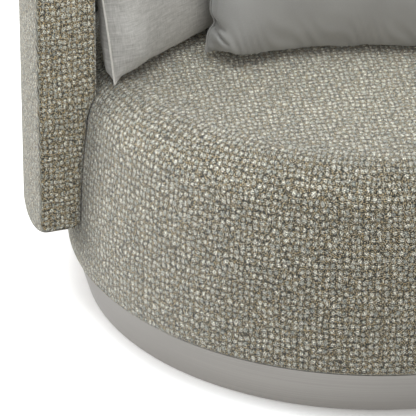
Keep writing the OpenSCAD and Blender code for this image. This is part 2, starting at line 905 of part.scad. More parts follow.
floor_glides();
plinth_skirt();
plinth_core();
plinth_hub();
plinth_board();
lower_race();
lower_race_screws();
king_bolt();
king_washers();
king_nut();
bearing_balls();
bearing_cage();
upper_race();
upper_race_screws();
king_bush();
seat_base_board();
drum_wall();
deck_posts();
deck_ring();
edge_roll();
zigzag_springs();
spring_clips();
spring_felt();
seat_foam();
side_foam();
seat_cover();
band_bottom_rail();
band_posts();
band_top_rail();
band_inner_panel();
band_outer_panel();
band_inner_foam();
band_top_foam();
band_outer_wadding();
arm_end_boards();
band_cover();
arm_front_covers();
band_bolts();
back_cushion_core();
back_cushion_cover();
left_pillow_insert();
left_pillow_cover();
left_pillow_piping();
right_pillow_insert();
right_pillow_cover();
right_pillow_piping();
lumbar_pillow_insert();
lumbar_pillow_cover();
lumbar_pillow_piping();
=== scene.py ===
"""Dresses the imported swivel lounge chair: woven upholstery, pillows, steel plinth, floor and light.

Everything is in metres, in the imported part's own frame: +Z up, the chair faces -Y,
and the origin is on the swivel axis at floor level.
"""

import json
import math

import bpy
import numpy as np
from mathutils import Matrix, Vector


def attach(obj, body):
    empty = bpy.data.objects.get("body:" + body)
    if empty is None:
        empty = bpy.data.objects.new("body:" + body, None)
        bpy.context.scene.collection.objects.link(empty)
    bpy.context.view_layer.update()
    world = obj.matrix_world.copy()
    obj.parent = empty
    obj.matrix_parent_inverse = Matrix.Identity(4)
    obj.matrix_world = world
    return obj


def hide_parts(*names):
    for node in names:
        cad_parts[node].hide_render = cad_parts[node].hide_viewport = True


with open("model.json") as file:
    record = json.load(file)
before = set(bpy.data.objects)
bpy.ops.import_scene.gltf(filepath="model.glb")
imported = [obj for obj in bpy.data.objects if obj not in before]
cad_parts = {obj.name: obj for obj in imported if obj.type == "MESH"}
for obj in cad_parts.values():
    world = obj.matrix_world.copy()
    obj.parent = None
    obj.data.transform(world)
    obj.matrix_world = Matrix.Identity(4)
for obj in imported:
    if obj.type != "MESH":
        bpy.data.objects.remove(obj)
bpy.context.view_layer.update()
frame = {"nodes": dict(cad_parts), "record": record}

# Sizes of the seat drum
SEAT_R = 0.510
DRUM_FOOT_Z = 0.0795
BELLY_Z = 0.1295
SHOULDER_Z = 0.3495
SIDE_TAPER = 0.014
FOOT_TAPER = 0.003
FOLD_R = 0.008
ROLL_W = 0.076
ROLL_H = 0.082
CROWN_H = 0.018
TURN_UNDER_R = 0.477
UNDER_CLEAR = 0.0004
POLE_R = 0.004
ROLL_IN_R = SEAT_R - SIDE_TAPER - ROLL_W
ROLL_TOP_Z = SHOULDER_Z + ROLL_H
CROWN_Z = ROLL_TOP_Z + CROWN_H

# Slow waves in the cloth of the drum's side: depth, number of waves round, and shift going up
SIDE_WAVES = ((0.0007, 7, 20), (0.0006, 13, -31))

# Sizes of the arm and back band, whose azimuths count from +X
BAND_R0 = 0.512
BAND_R1 = 0.580
BORE_R = 0.480
BAND_GAP = 0.002
BAND_FOOT_Z = 0.168
BAND_ANGLE = math.radians(20)
RIGHT_FACE = -BAND_ANGLE
LEFT_FACE = math.pi + BAND_ANGLE
ARM_TOP_Z = 0.660
BACK_TOP_Z = 0.800
EDGE_R = 0.034
BAND_SLOPE = (BACK_TOP_Z - ARM_TOP_Z) / (BAND_R1 + BAND_R1 * math.sin(BAND_ANGLE))
BAND_TOP_Z0 = ARM_TOP_Z + BAND_SLOPE * BAND_R1 * math.sin(BAND_ANGLE)

# The band's hem, and the sweep of it up to the arms' front corners
HEM_R = 0.015
HEM_INNER_R = 0.006
HEM_INNER_Z = 0.170
HEM_MIDDLE_R = (BAND_R0 + BAND_R1) / 2 - 0.010
HEM_DROP = 0.029
HEM_SWEEP = 0.026
HEM_SWEEP_RUN = 0.040

# The band's front faces: thickness, rounding at the edge, groove at the seam and crown
FACE_T = 0.0025
FACE_EDGE = 0.003
FACE_EDGE_START = 0.15
FACE_GROOVE = 0.0012
FACE_CROWN = 0.0022

# Where a front face's mesh starts: the lowest point of its outline that is near this radius
FACE_START_R = 0.545
FACE_START_REACH = 0.020

# Mesh steps round the band's section, and how far the inner cloth runs on to the top roll
INSIDE_STEPS, OVER_STEPS, OUTSIDE_STEPS, UNDER_STEPS = 39, 21, 43, 13
INNER_CLOTH_STEPS = INSIDE_STEPS + 6

# Sizes of the back cushion
CUSHION_H = 0.285
CUSHION_FRONT_R = 0.530
CUSHION_MIDDLE_R = 0.420
CUSHION_AHEAD = 0.090
CUSHION_SPAN = math.radians(76)
CUSHION_BACK_R = BORE_R - 0.0012
CUSHION_LIFT = 0.001
CUSHION_SHRINK = 0.002

# Sizes and places of the square pillows
SQUARE_W = 0.450
SQUARE_SWELL = (0.042, 0.066)
SQUARE_TURN = math.radians(45.5)
SQUARE_LEAN = math.radians(11)
SQUARE_TILT = math.radians(3.2)
SQUARE_CORNER_R = BORE_R - 0.024
SQUARE_CORNER_A = math.radians(22.3)
SQUARE_X = -SQUARE_CORNER_R * math.cos(SQUARE_CORNER_A)
SQUARE_Y = -SQUARE_CORNER_R * math.sin(SQUARE_CORNER_A)

# Sizes and place of the lumbar pillow
LUMBAR_W = 0.548
LUMBAR_H = 0.335
LUMBAR_SWELL = (0.060, 0.060)
LUMBAR_LEAN = math.radians(10)
LUMBAR_AHEAD = 0.064
LUMBAR_FLAT = 0.100
LUMBAR_BEND = 0.024
LUMBAR_BACK = 0.008

# Cut of the pillows: sides drawn in, cord at the seam, and fullness of the panels
SIDE_DRAW = 0.012
PIPING_D = 0.005
PIPING_R = PIPING_D * 0.40
PIPING_OUT = 0.0016
SEAM_CLEAR = 0.0005 + PIPING_D + 0.0003
CLOTH_CELL = 0.0056
CLOTH_EXTRA = 0.030
SIDE_SQUARENESS = 3.2
TOP_SQUARENESS = 4

# Filling of the pillows, and how much of the simulated shape is kept
FILL_PRESSURE = 3.0
FILL_FRAMES = 24
FILL_SHARE = 0.35
SEAM_HOLD = 0.9

# Sag of a pillow's front over its bottom seam
SEAM_LIFT = 0.010
BELLY_DROP = 0.012
BELLY_REACH = 0.075
BELLY_DEPTH = 0.024
DRAPE_REACH = 0.22

# Fullness of a pillow's lower corners
PLUMP_REACH = 0.20
PLUMP_DEPTH = 0.016

# Gaps that keep a pillow's cloth off the seat and the band, and where they end
SEAT_CLEAR = 0.0012
WALL_CLEAR = 0.0015
RIM_MARGIN = 0.020
TOP_MARGIN = 0.010

# The lumbar pillow's pinched ends, and its creases, each from x, z to x, z with its depth
FOLD_DEPTH = 0.012
PINCH = 0.009
PINCH_Z = 0.050
PINCH_H = 0.012
PINCH_W = 0.022
CREASE_R = 0.0026
CREASES = [((0.264, 0.053), (0.246, 0.046), 0.016), ((0.262, 0.043), (0.240, 0.024), 0.018)]
PUCKER = 0.0024
PUCKER_W = 0.024
PUCKER_REACH = 0.042

# Pitch of the chunky weave, across and along the cloth
NUB_W = 0.0100
NUB_H = 0.0115

# Lay of the crown's cloth, and where the panels lie on the flat cloth, clear of each other
CROWN_CLOTH_TURN = math.radians(-8)
CROWN_CLOTH_FULLNESS = 1.13
OUTER_CLOTH = 1.3
FACE_CLOTH = 3.1
CUSHION_CLOTH = 5.0

# Heights and radii over which painted light makes the seat's crown lighter and painted shade makes
# its rim darker
PAINTED_CROWN_LIGHT_Z = (0.425, 0.447)
PAINTED_CROWN_LIGHT_R = (0.40, 0.46)
PAINTED_RIM_SHADE_Z = (0.34, 0.41)
PAINTED_RIM_SHADE_R = (0.465, 0.49)

# Height of the chair's middle, at which the lamps aim and the cloth's painted light by height neither
# lightens nor darkens it
MIDDLE_Z = 0.35

# Camera of the photograph: place, degrees below level, and lens and sensor in millimetres
CAMERA_PLACE = (-0.2715, -5.8914, 3.3455)
CAMERA_DROP = 28.82
CAMERA_LENS = 346.15
CAMERA_SENSOR = 36.0

# Even light of the studio, and tones of the floor: its own, and as the camera and the steel see it
STUDIO_LIGHT = 0.50
FLOOR_TONE = 0.54
FLOOR_SEEN = 1.02
FLOOR_GLOW = 0.60
FLOOR_IN_STEEL = 0.35

# Under the chair the floor glows less, which paints the soft edge of the chair's shadow: the middle
# of that place, and the radii of its edge
SHADE_CENTRE = (0.014, -0.016, 0)
SHADE_EDGE = (0.483, 0.560)


# Shapes that the upholstery follows

def seat_radius(z):
    """Radius of the seat drum at height z."""
    if z < BELLY_Z:
        return SEAT_R - FOOT_TAPER * ((BELLY_Z - z) / (BELLY_Z - DRUM_FOOT_Z)) ** 2
    if z <= SHOULDER_Z:
        return SEAT_R - SIDE_TAPER * ((z - BELLY_Z) / (SHOULDER_Z - BELLY_Z)) ** 2
    return ROLL_IN_R + ROLL_W * math.sqrt(max(0.0, 1 - ((z - SHOULDER_Z) / ROLL_H) ** 2))


def seat_height(r):
    """Height of the seat's top at radius r."""
    if r < ROLL_IN_R:
        return CROWN_Z - CROWN_H * (r / ROLL_IN_R) ** 2
    return SHOULDER_Z + ROLL_H * math.sqrt(max(0.0, 1 - ((r - ROLL_IN_R) / ROLL_W) ** 2))


def band_top(y):
    """Height of the band's sloping top at y."""
    return BAND_TOP_Z0 + BAND_SLOPE * y


def band_foot(azimuth):
    """Height of the band's hem, which sweeps up to the front corner of each arm."""
    back = min(azimuth - RIGHT_FACE, LEFT_FACE - azimuth) * BAND_R1
    return BAND_FOOT_Z - HEM_DROP + HEM_SWEEP * math.exp(-max(0.0, back) / HEM_SWEEP_RUN)


def band_inner_radius(z):
    """Radius of the band's inner face at height z."""
    if z > ROLL_TOP_Z:
        return BORE_R
    return max(BORE_R, seat_radius(z) + BAND_GAP)


def arc_points(centre, radius, start, end, count):
    """Points on an arc in a section plane, angles in degrees."""
    return [(centre[0] + radius * math.cos(math.radians(a)),
             centre[1] + radius * math.sin(math.radians(a)))
            for a in np.linspace(start, end, count)]


def arc_lengths(path):
    """Distance along a path at each of its points."""
    steps = np.linalg.norm(np.diff(np.asarray(path), axis=0), axis=1)
    return np.concatenate([[0.0], np.cumsum(steps)])


def respaced(path, count):
    """The same path with its points evenly spaced."""
    path = np.asarray(path)
    along = arc_lengths(path)
    wanted = np.linspace(0, along[-1], count)
    return np.stack([np.interp(wanted, along, path[:, k]) for k in range(path.shape[1])], axis=1)


# Meshes

def piece(name, points, faces, cloth=None):
    """A smooth mesh. cloth holds each face corner's place on the flat cloth, in metres."""
    mesh = bpy.data.meshes.new(name)
    mesh.from_pydata([tuple(p) for p in points], [], [tuple(f) for f in faces])
    if cloth is not None:
        layer = mesh.uv_layers.new(name="cloth")
        layer.data.foreach_set("uv", np.asarray(cloth, dtype=np.float32).ravel())
    mesh.polygons.foreach_set("use_smooth", [True] * len(mesh.polygons))
    mesh.update()
    obj = bpy.data.objects.new(name, mesh)
    bpy.context.scene.collection.objects.link(obj)
    return obj


def grid_faces(rows, columns, around):
    """Quads of a grid, and the grid place of each of their corners."""
    quads, corners = [], []
    for i in range(rows - 1):
        for j in range(columns if around else columns - 1):
            places = [(i, j), (i, j + 1), (i + 1, j + 1), (i + 1, j)]
            quads.append([a * columns + b % columns for a, b in places])
            corners.append(places)
    return quads, corners


# Finishes

class Wire:
    """A node socket that Python arithmetic can be written on."""

    def __init__(self, finish, socket):
        self.finish = finish
        self.socket = socket

    def maths(self, operation, *others):
        """The outcome of a Math node on this socket and the others."""
        values = dict(enumerate((self,) + others))
        return self.finish.node("ShaderNodeMath", {"operation": operation}, values)

    def __add__(self, other):
        return self.maths("ADD", other)

    def __radd__(self, other):
        return self.maths("ADD", other)

    def __sub__(self, other):
        return self.maths("SUBTRACT", other)

    def __rsub__(self, other):
        return (self * -1.0).maths("ADD", other)

    def __mul__(self, other):
        return self.maths("MULTIPLY", other)

    def __rmul__(self, other):
        return self.maths("MULTIPLY", other)

    def clamped(self, low, high):
        """The value kept between low and high."""
        return self.maths("MAXIMUM", low).maths("MINIMUM", high)

    def above(self, low, high):
        """0 below low, 1 above high, smooth between."""
        settings = {"interpolation_type": "SMOOTHSTEP"}
        return self.finish.node("ShaderNodeMapRange", settings,
                                {"Value": self, "From Min": low, "From Max": high})


class Finish:
    """A material whose nodes are written as expressions."""

    def __init__(self, name, **shader):
        self.material = bpy.data.materials.new(name)
        self.material.use_nodes = True
        self.tree = self.material.node_tree
        self.tree.nodes.clear()
        output = self.tree.nodes.new("ShaderNodeOutputMaterial")
        self.shader = self.tree.nodes.new("ShaderNodeBsdfPrincipled")
        self.tree.links.new(self.shader.outputs["BSDF"], output.inputs["Surface"])
        for socket, value in shader.items():
            self.shader.inputs[socket.replace("_", " ")].default_value = value

    def node(self, kind, settings=None, sockets=None, output=0):
        """Adds a node: its settings first, then the values or wires of its sockets."""
        made = self.tree.nodes.new(kind)
        for key, value in (settings or {}).items():
            if key == "stops":
                self.set_stops(made.color_ramp, value)
            else:
                setattr(made, key, value)
        for key, value in (sockets or {}).items():
            self.plug(made.inputs[key], value)
        return Wire(self, made.outputs[output])

    def plug(self, socket, value):
        """Gives a socket a wire or a plain value."""
        if isinstance(value, Wire):
            self.tree.links.new(value.socket, socket)
        else:
            socket.default_value = value

    def set_stops(self, ramp, stops):
        """Gives a ramp its colours, each at its place from 0 to 1."""
        while len(ramp.elements) < len(stops):
            ramp.elements.new(0.5)
        for element, (place, colour) in zip(ramp.elements, stops):
            element.position = place
            element.color = (*colour, 1)

    def place(self, scale=(1, 1, 1), uv=None):
        """Object coordinates, or a UV map's, scaled."""
        if uv:
            source = self.node("ShaderNodeUVMap", {"uv_map": uv})
        else:
            source = self.node("ShaderNodeTexCoord", output="Object")
        return self.node("ShaderNodeMapping", None, {"Vector": source, "Scale": scale})

    def noise(self, where, scale, detail=2.0, roughness=0.5, colour=False):
        """Soft noise, as one number or as a colour of three."""
        sockets = {"Vector": where, "Scale": scale, "Detail": detail, "Roughness": roughness}
        return self.node("ShaderNodeTexNoise", None, sockets, "Color" if colour else "Fac")

    def ramp(self, factor, stops):
        """Colours that follow a factor."""
        return self.node("ShaderNodeValToRGB", {"stops": stops}, {"Fac": factor})

    def parts(self, vector):
        """The three numbers of a vector."""
        made = self.node("ShaderNodeSeparateXYZ", None, {0: vector}).socket.node
        return [Wire(self, made.outputs[k]) for k in range(3)]

    def mix(self, factor, first, second):
        """One colour at factor 0 and another at factor 1."""
        made = self.node("ShaderNodeMix", {"data_type": "RGBA"}, {0: factor, 6: first, 7: second})
        return Wire(self, made.socket.node.outputs[2])

    def bump(self, height, distance, strength=1.0):
        """Relief: a height from 0 to 1 stands for a distance in metres."""
        sockets = {"Height": height, "Distance": distance, "Strength": strength}
        return self.node("ShaderNodeBump", None, sockets)

    def set(self, **sockets):
        """Plugs the shader's sockets and returns the material."""
        for name, value in sockets.items():
            self.plug(self.shader.inputs[name.replace("_", " ")], value)
        return self.material


def rgb(red, green, blue):
    """A colour given as it looks on screen, 0 to 255."""
    def linear(level):
        level /= 255
        return level / 12.92 if level <= 0.04045 else ((level + 0.055) / 1.055) ** 2.4
    return (linear(red), linear(green), linear(blue))


def chunky_weave(name, level=1.02, pitch=(NUB_W, NUB_H), gold=0.0, rise=0.16):
    """Thick plied yarn in a square weave: pale nubs of mixed greys, olive and gold in the gaps.

    level is the brightness of the yarn, gold widens the golden share of the gaps,
    and rise is painted light: how much lighter the cloth is painted for each metre of height.
    """
    cloth = Finish(name, Roughness=0.92, Specular_IOR_Level=0.12, Sheen_Weight=0.6,
                   Sheen_Roughness=0.5, Sheen_Tint=(1.0, 1.0, 0.98, 1))
    # Each cell of a swaying lattice is one nub, domed and slanted by chance
    flat = cloth.place(uv="cloth")
    sway = cloth.noise(flat, 40.0, 1.0, colour=True)
    lattice = cloth.node("ShaderNodeVectorMath", {"operation": "MULTIPLY_ADD"},
                         {0: flat, 1: (1 / pitch[0], 1 / pitch[1], 1), 2: sway}, "Vector")
    nubs = cloth.node("ShaderNodeTexVoronoi", {"voronoi_dimensions": "2D"},
                      {"Vector": lattice, "Scale": 1.0, "Randomness": 0.34}, "Distance")
    odds, twist, size = cloth.parts(Wire(cloth, nubs.socket.node.outputs["Color"]))
    centre = Wire(cloth, nubs.socket.node.outputs["Position"])
    local = cloth.node("ShaderNodeVectorMath", {"operation": "SUBTRACT"}, {0: lattice, 1: centre})
    across, along, _ = cloth.parts(local)
    strand, hair, hue = cloth.parts(cloth.noise(flat, 540.0, 0.0, colour=True))
    dome = 1.0 - nubs * nubs * (17.0 - size * 7.0)
    slant = across * (odds - 0.3) + along * (twist - 0.3)
    nub = (dome + slant * 0.9 + (strand - 0.5) * 1.2).clamped(-1.0, 1.1)

    # Nubs take their tone by chance, and the gaps show dark thread with gold and grey in it; the fall
    # to that dark gap colour round each nub's dome is also painted shade in the grooves between nubs
    slub = cloth.noise(cloth.place((30, 60, 1), "cloth"), 1.0, 2.0)
    tone = odds * 0.44 + slub * 0.4 + hue * 1.3 - 0.60
    yarn = cloth.ramp(tone, [
        (0.10, rgb(122, 128, 124)), (0.30, rgb(158, 165, 158)), (0.50, rgb(204, 200, 188)),
        (0.70, rgb(214, 216, 204)), (0.90, rgb(248, 244, 230))])
    gap = cloth.ramp(hair, [
        (0.37, rgb(48, 50, 47)), (0.50 - gold, rgb(104, 104, 97)),
        (0.57 - gold, rgb(190, 159, 98)), (0.61, rgb(160, 148, 118)), (0.67, rgb(166, 166, 157))])
    # Mixing by the dome paints shade where each nub falls away into the gaps
    colour = cloth.mix(nub.above(-1.1, 1.1), gap, yarn)

    # Painted light and shade by place: lighter with height, lighter on the seat's crown and darker on
    # its rim; and brightness by the single strands of the yarn, multiplied by that painted light
    height = cloth.parts(cloth.place())[2]
    reach = cloth.node("ShaderNodeVectorMath", {"operation": "LENGTH"},
                       {0: cloth.place((1, 1, 0))}, "Value")
    crown = height.above(*PAINTED_CROWN_LIGHT_Z) * (1.0 - reach.above(*PAINTED_CROWN_LIGHT_R))
    painted_rim_shade = height.above(*PAINTED_RIM_SHADE_Z) * (1.0 - reach.above(*PAINTED_RIM_SHADE_R)) * (1.0 - crown)
    # light is painted light and shade: it lightens the cloth with height and on the crown, and
    # darkens the rim
    light = (height - MIDDLE_Z) * rise + 1.0 + crown * 0.25 - painted_rim_shade * 0.11
    fibre = ((strand - 0.5) * 4.4 + level).clamped(0.25, 1.8) * light
    colour = cloth.node("ShaderNodeVectorMath", {"operation": "SCALE"},
                        {0: colour, "Scale": fibre}, "Vector")
    relief = nub + (strand - 0.5) * 1.4
    return cloth.set(Base_Color=colour, Normal=cloth.bump(relief, 0.0018, 0.7))


def linen(name, light, dark):
    """Plain woven linen with slubs along both threads."""
    cloth = Finish(name, Roughness=0.85, Specular_IOR_Level=0.2, Sheen_Weight=0.2,
                   Sheen_Roughness=0.5)
    warp = cloth.noise(cloth.place((900, 60, 1), "cloth"), 1.0, 3.0, 0.6)
    weft = cloth.noise(cloth.place((60, 900, 1), "cloth"), 1.0, 3.0, 0.6)
    slub = cloth.noise(cloth.place((40, 260, 1), "cloth"), 1.0, 2.0, 0.5)
    blotch = cloth.noise(cloth.place((1, 1, 1), "cloth"), 9.0, 2.0, 0.5)
    thread = (warp + weft) * 0.5
    tone = thread * 0.75 + slub * 0.25 + (blotch - 0.5) * 0.2
    colour = cloth.ramp(tone, [(0.30, dark), (0.68, light)])
    return cloth.set(Base_Color=colour, Normal=cloth.bump(thread, 0.0010, 0.5))


def sateen(name):
    """Close-woven, slightly lustrous cotton."""
    cloth = Finish(name, Roughness=0.62, Specular_IOR_Level=0.3, Sheen_Weight=0.35,
                   Sheen_Roughness=0.35)
    fine = cloth.noise(cloth.place((700, 900, 1), "cloth"), 1.0, 2.0, 0.6)
    blotch = cloth.noise(cloth.place((1, 1, 1), "cloth"), 14.0, 3.0, 0.5)
    tone = fine * 0.7 + blotch * 0.3
    colour = cloth.ramp(tone, [(0.30, rgb(136, 135, 132)), (0.70, rgb(167, 166, 163))])
    return cloth.set(Base_Color=colour, Normal=cloth.bump(fine, 0.0006, 0.35))


def brushed_steel(name):
    """Satin stainless sheet, brushed round the ring."""
    steel = Finish(name, Metallic=1.0, Roughness=0.34)
    streaks = steel.noise(steel.place((3, 3, 900)), 1.0, 4.0, 0.6)
    cloud = steel.noise(steel.place(), 6.0, 2.0, 0.5)
    colour = steel.ramp(streaks, [(0.3, rgb(160, 156, 152)), (0.7, rgb(174, 171, 166))])
    rough = 0.26 + streaks * 0.10 + cloud * 0.08
    return steel.set(Base_Color=colour, Roughness=rough,
                     Normal=steel.bump(streaks, 0.0002, 0.15))


def plain_part(name, low, high, scale, roughness, metallic=0.0, stretch=(1, 1, 1)):
    """Finish of a hidden part: two tones under noise, with a little relief."""
    stuff = Finish(name, Metallic=metallic)
    grain = stuff.noise(stuff.place(stretch), scale, 4.0, 0.6)
    colour = stuff.ramp(grain, [(0.3, low), (0.7, high)])
    return stuff.set(Base_Color=colour, Roughness=grain * 0.15 + (roughness - 0.07),
                     Normal=stuff.bump(grain, 0.0004, 0.4))


WEAVE = chunky_weave("chunky_weave")
# Weave for the arms' front panels, laid across with a finer pitch and more gold; its higher level
# paints the panels lighter, and its steep rise paints them lighter at the top and darker below
WEAVE_ACROSS_PAINTED_LIGHTER = chunky_weave("chunky_weave_across_painted_lighter", level=1.14, pitch=(NUB_W * 0.87, NUB_H * 0.95),
                            gold=0.02, rise=0.42)
LINEN = linen("pale_linen", rgb(212, 210, 206), rgb(142, 140, 135))
LINEN_EDGE = linen("pale_linen_piping", rgb(226, 224, 218), rgb(200, 197, 190))
SATEEN = sateen("grey_sateen")
STEEL = brushed_steel("brushed_stainless")
ZINC = plain_part("zinc_plate", rgb(150, 152, 155), rgb(178, 180, 184), 40, 0.4, 1.0)
BALL_STEEL = plain_part("ball_steel", rgb(196, 196, 198), rgb(212, 212, 214), 20, 0.15, 1.0)
PLYWOOD = plain_part("birch_plywood", rgb(176, 142, 100), rgb(208, 178, 136), 6, 0.7,
                     stretch=(2, 2, 60))
FOAM = plain_part("cream_foam", rgb(222, 212, 178), rgb(238, 230, 202), 300, 0.95)
FELT = plain_part("dark_felt", rgb(46, 46, 48), rgb(66, 66, 68), 400, 0.95)
PLASTIC = plain_part("black_plastic", rgb(28, 28, 30), rgb(38, 38, 40), 150, 0.5)
FILLING = plain_part("fibre_filling", rgb(226, 226, 222), rgb(242, 242, 238), 120, 0.95)

SLOT_FINISH = {
    "stainless": STEEL, "zinc_steel": ZINC, "ball_steel": BALL_STEEL, "plywood": PLYWOOD,
    "foam": FOAM, "felt": FELT, "black_plastic": PLASTIC, "fibre_fill": FILLING,
    "weave": WEAVE, "linen": LINEN, "linen_piping": LINEN_EDGE, "sateen": SATEEN,
}

for part in frame["record"]["subparts"]:
    node = frame["nodes"][part["node"]]
    node.data.materials.clear()
    node.data.materials.append(SLOT_FINISH[part["material_slot"]])


def dress(obj, finish, body, slot, *nodes, fill=None):
    """Gives a piece its finish and the body it rides on, and hides the solids it stands for."""
    obj.data.materials.clear()
    obj.data.materials.append(finish)
    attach(obj, body)
    if nodes:
        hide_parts(*nodes)


# Seat drum

def crown_cloth(point):
    """Place on the flat cloth of a point of the crown, whose cloth lies a little askew and full."""
    x, y, _ = point
    cos, sin = math.cos(CROWN_CLOTH_TURN), math.sin(CROWN_CLOTH_TURN)
    return ((x * cos - y * sin) * CROWN_CLOTH_FULLNESS, (x * sin + y * cos) * CROWN_CLOTH_FULLNESS)


def make_seat():
    """One turned skin from the fold under the drum, up the side and over the crown."""
    fold_top = DRUM_FOOT_Z + FOLD_R
    fold_x = seat_radius(fold_top) - FOLD_R
    section = [(TURN_UNDER_R, DRUM_FOOT_Z + UNDER_CLEAR)]
    section += arc_points((fold_x, fold_top), FOLD_R, -90, 0, 7)
    fold_rows = len(section) - 1
    section += [(seat_radius(z), z) for z in np.linspace(fold_top, SHOULDER_Z, 34)[1:]]
    section += [(ROLL_IN_R + ROLL_W * math.cos(a), SHOULDER_Z + ROLL_H * math.sin(a))
                for a in np.linspace(0, math.pi / 2, 20)[1:]]
    side_rows = len(section)
    section += [(r, seat_height(r)) for r in np.linspace(ROLL_IN_R, POLE_R, 52)[1:]]
    along = arc_lengths(section)
    turns = 288
    points = []
    for row, ((r, z), s) in enumerate(zip(section, along)):
        for j in range(turns):
            a = 2 * math.pi * j / turns
            wave = sum(depth * math.sin(waves * a + shift * s) for depth, waves, shift in SIDE_WAVES)
            loose = r + (wave if fold_rows <= row < side_rows else 0)
            points.append((loose * math.sin(a), -loose * math.cos(a), z))
    quads, corners = grid_faces(len(section), turns, True)
    cloth = []
    for quad, places in zip(quads, corners):
        if places[0][0] < side_rows - 1:
            cloth += [(2 * math.pi * j / turns * SEAT_R, along[i] - along[side_rows - 1])
                      for i, j in places]
        else:
            cloth += [crown_cloth(points[k]) for k in quad]
    centre = len(points)
    points.append((0, 0, CROWN_Z))
    last = (len(section) - 1) * turns
    for j in range(turns):
        triangle = [last + j, last + (j + 1) % turns, centre]
        quads.append(triangle)
        cloth += [crown_cloth(points[k]) for k in triangle]
    return piece("seat_upholstery", points, quads, cloth)


# Arm and back band

def band_section(azimuth, inset=0.0):
    """Closed section of the band: up its inside, over the top, down its outside and under."""
    foot = band_foot(azimuth) + inset
    middle = (HEM_MIDDLE_R, foot)
    inside = [middle, (band_inner_radius(HEM_INNER_Z) + inset + HEM_INNER_R, foot)]
    inside += [(band_inner_radius(z) + inset, z)
               for z in np.linspace(foot + HEM_INNER_R, ROLL_TOP_Z, 26)]
    over = inside[-1:]
    rolled = EDGE_R - inset
    for centre, start, end in ((BORE_R + EDGE_R, 180, 90), (BAND_R1 - EDGE_R, 90, 0)):
        for r, up in arc_points((centre, 0), rolled, start, end, 9):
            over.append((r, band_top(r * math.sin(azimuth)) - EDGE_R + up))
    hem = arc_points((BAND_R1 - HEM_R, foot - inset + HEM_R), HEM_R - inset, 0, -90, 9)
    outside = [over[-1], hem[0]]
    under = hem + [middle]
    stretches = ((inside, INSIDE_STEPS), (over, OVER_STEPS),
                 (outside, OUTSIDE_STEPS), (under, UNDER_STEPS))
    return np.concatenate([respaced(path, steps + 1)[:-1] for path, steps in stretches])


def band_point(r, z, azimuth, forward=0.0):
    """Point of the band at an azimuth from +X, moved forward past that section."""
    x = r * math.cos(azimuth) + forward * math.sin(azimuth)
    y = r * math.sin(azimuth) - forward * math.cos(azimuth)
    return (x, y, z)


def make_band():
    """The band's skin: inner, top and outer panels, rounded over to its two front faces."""
    trim = FACE_EDGE / BAND_R1
    rounded = [(FACE_EDGE * (1 - math.cos(q)), FACE_EDGE * math.sin(q) + FACE_T - FACE_EDGE)
               for q in np.linspace(FACE_EDGE_START, math.pi / 2, 6)]
    rings = [(RIGHT_FACE, inset, forward) for inset, forward in reversed(rounded)]
    rings += [(azimuth, 0.0, 0.0)
              for azimuth in np.linspace(RIGHT_FACE + trim, LEFT_FACE - trim, 170)]
    rings += [(LEFT_FACE, inset, -forward) for inset, forward in rounded]
    points, alongs = [], []
    for azimuth, inset, forward in rings:
        path = band_section(azimuth, inset)
        points += [band_point(r, z, azimuth, forward) for r, z in path]
        alongs.append(arc_lengths(np.vstack([path, path[:1]])))
    quads, corners = grid_faces(len(rings), len(path), True)
    cloth = []
    for places in corners:
        inner = places[0][1] < INNER_CLOTH_STEPS
        radius, start = (BORE_R, 0.0) if inner else (BAND_R1, OUTER_CLOTH)
        for i, j in places:
            azimuth, _, forward = rings[i]
            cloth.append((azimuth * radius - forward, alongs[i][j] + start))
    return piece("band_upholstery", points, quads, cloth)


def make_arm_faces():
    """Flat sewn panels on the fronts of the arms, slightly crowned, with a groove at the seam."""
    outline = band_section(RIGHT_FACE, FACE_EDGE)
    near = [k for k, (r, _) in enumerate(outline) if abs(r - FACE_START_R) <= FACE_START_REACH]
    lowest = min(near, key=lambda k: outline[k][1])
    loop = np.roll(outline, -lowest, axis=0)
    half, columns = len(loop) // 2, 16
    grid, _ = grid_faces(half + 1, columns + 1, False)
    points, quads, cloth = [], [], []
    for azimuth, way in ((RIGHT_FACE, 1), (LEFT_FACE, -1)):
        base = len(points)
        for i in range(half + 1):
            for k in range(columns + 1):
                t = k / columns
                r, z = loop[i] * (1 - t) + loop[-i] * t
                crown = 4.0 * t * (1 - t) * math.sin(math.pi * (i / half)) ** 0.3
                forward = FACE_T - FACE_GROOVE + FACE_CROWN * crown
                points.append(band_point(r, z, azimuth, forward * way))
        for quad in grid:
            quads.append([base + k for k in quad[::way]])
            cloth += [(FACE_CLOTH - way * math.hypot(*points[k][:2]), points[k][2])
                      for k in quads[-1]]
    return piece("arm_front_panels", points, quads, cloth)


# Back cushion

def cushion_front(angle):
    """Radius of the back cushion's hollow front at an angle from the back."""
    front_y = SQUARE_Y + SQUARE_W * math.sin(SQUARE_TURN) + CUSHION_AHEAD
    centre = front_y - CUSHION_FRONT_R
    return centre * math.cos(angle) + math.sqrt(
        CUSHION_FRONT_R ** 2 - (centre * math.sin(angle)) ** 2)


